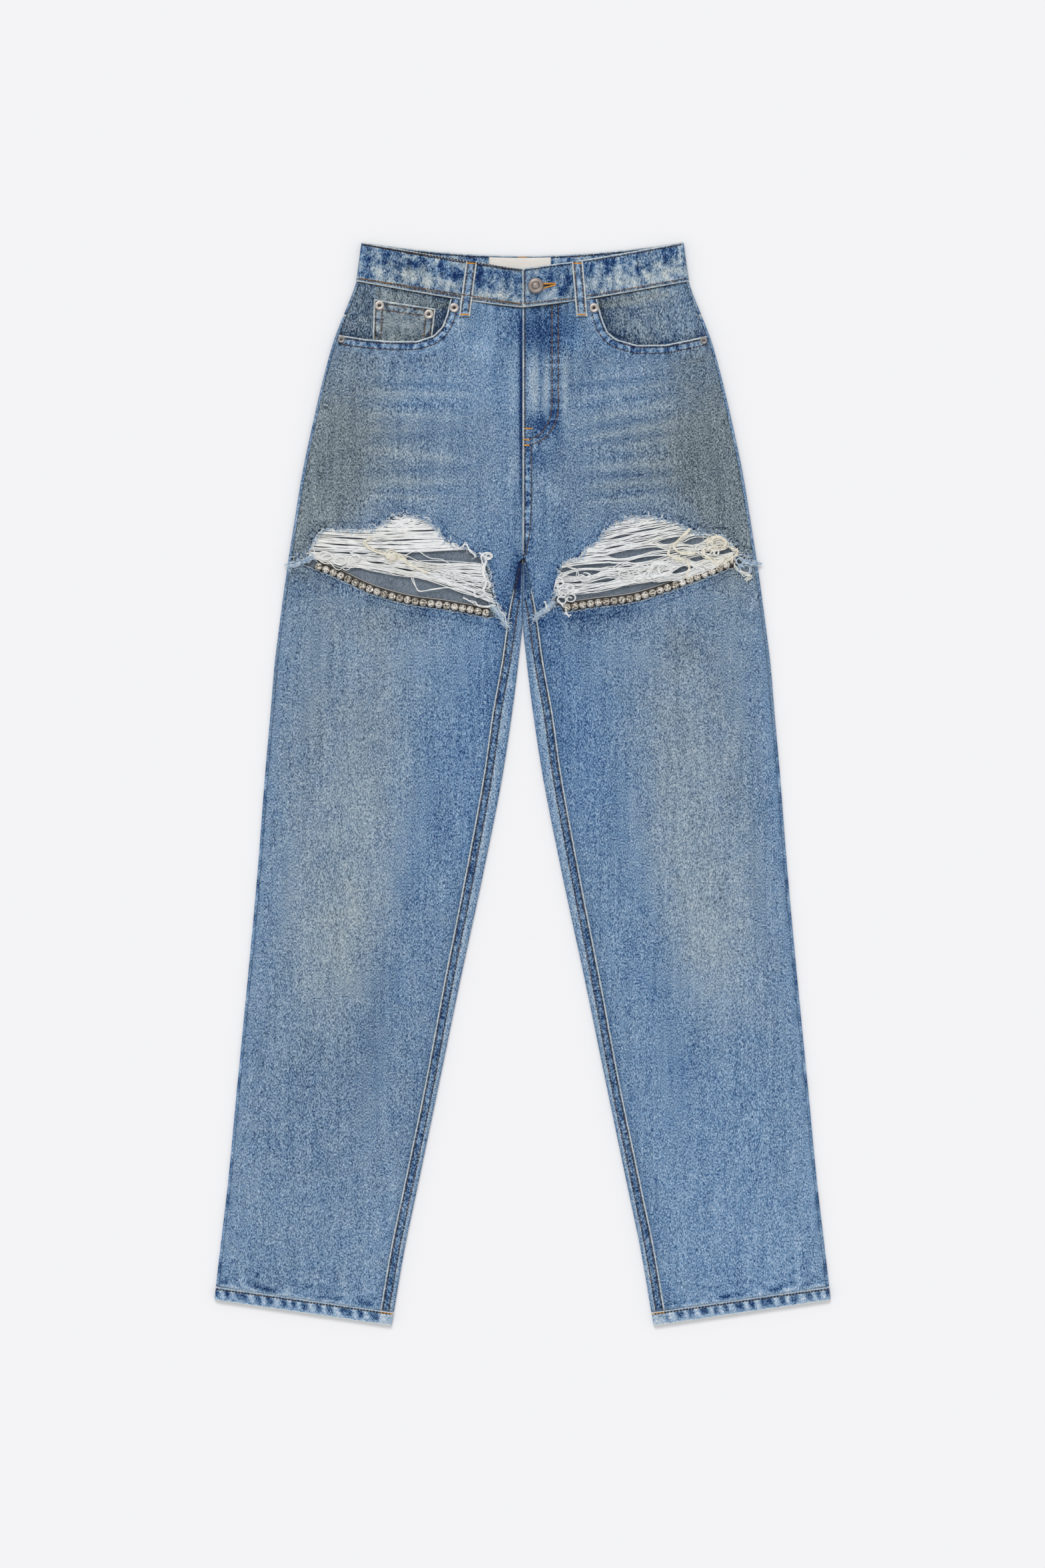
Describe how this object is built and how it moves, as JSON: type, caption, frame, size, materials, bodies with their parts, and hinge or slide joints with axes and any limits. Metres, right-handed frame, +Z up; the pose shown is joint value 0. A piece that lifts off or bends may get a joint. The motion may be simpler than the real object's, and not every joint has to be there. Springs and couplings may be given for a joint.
{
  "type": "ripped jeans",
  "caption": "High-rise straight-leg blue denim jeans laid flat on their back, with a frayed rip across each thigh edged by a chain of round crystals.",
  "frame": {"origin": "centre of the bounding box on the surface that the jeans lie on", "axes": "+Y towards the waist, +X towards the wearer's left leg, +Z up out of the front of the garment"},
  "size_m": [0.6282, 1.1042, 0.0147],
  "materials": {
    "denim": "stone-washed blue twill, faded at the seams, knees and centre of each leg",
    "label_cloth": "smooth woven tape",
    "nickel": "worn antique nickel with a coppery cast",
    "crystal": "clear faceted stones in bright metal cups",
    "tape": "dark matt tape",
    "cotton_threads": "undyed cotton weft, frayed"
  },
  "bodies": {
    "root": {"front_upper_right": "denim", "front_upper_left": "denim", "front_lower_right": "denim", "front_lower_left": "denim", "back_right": "denim", "back_left": "denim", "yoke_right": "denim", "yoke_left": "denim", "back_pocket_right": "denim", "back_pocket_left": "denim", "waistband": "denim", "belt_loop_front_right": "denim", "belt_loop_front_left": "denim", "belt_loop_back_right": "denim", "belt_loop_back_centre": "denim", "belt_loop_back_left": "denim", "pocket_facing_right": "denim", "pocket_facing_left": "denim", "coin_pocket": "denim", "hem_right": "denim", "hem_left": "denim", "label": "label_cloth", "button": "nickel", "rivet_coin_outer": "nickel", "rivet_coin_inner": "nickel", "rivet_inner_right": "nickel", "rivet_inner_left": "nickel", "rivet_outer_right": "nickel", "rivet_outer_left": "nickel", "crystal_chain_right": "crystal", "crystal_chain_left": "crystal", "chain_tape_right": "tape", "chain_tape_left": "tape", "rip_threads_upper_right": "cotton_threads", "rip_threads_upper_left": "cotton_threads", "rip_threads_lower_right": "cotton_threads", "rip_threads_lower_left": "cotton_threads", "fray_outer_right": "cotton_threads", "fray_outer_left": "cotton_threads", "fray_inner_right": "cotton_threads", "fray_inner_left": "cotton_threads"}
  },
  "joints": []
}
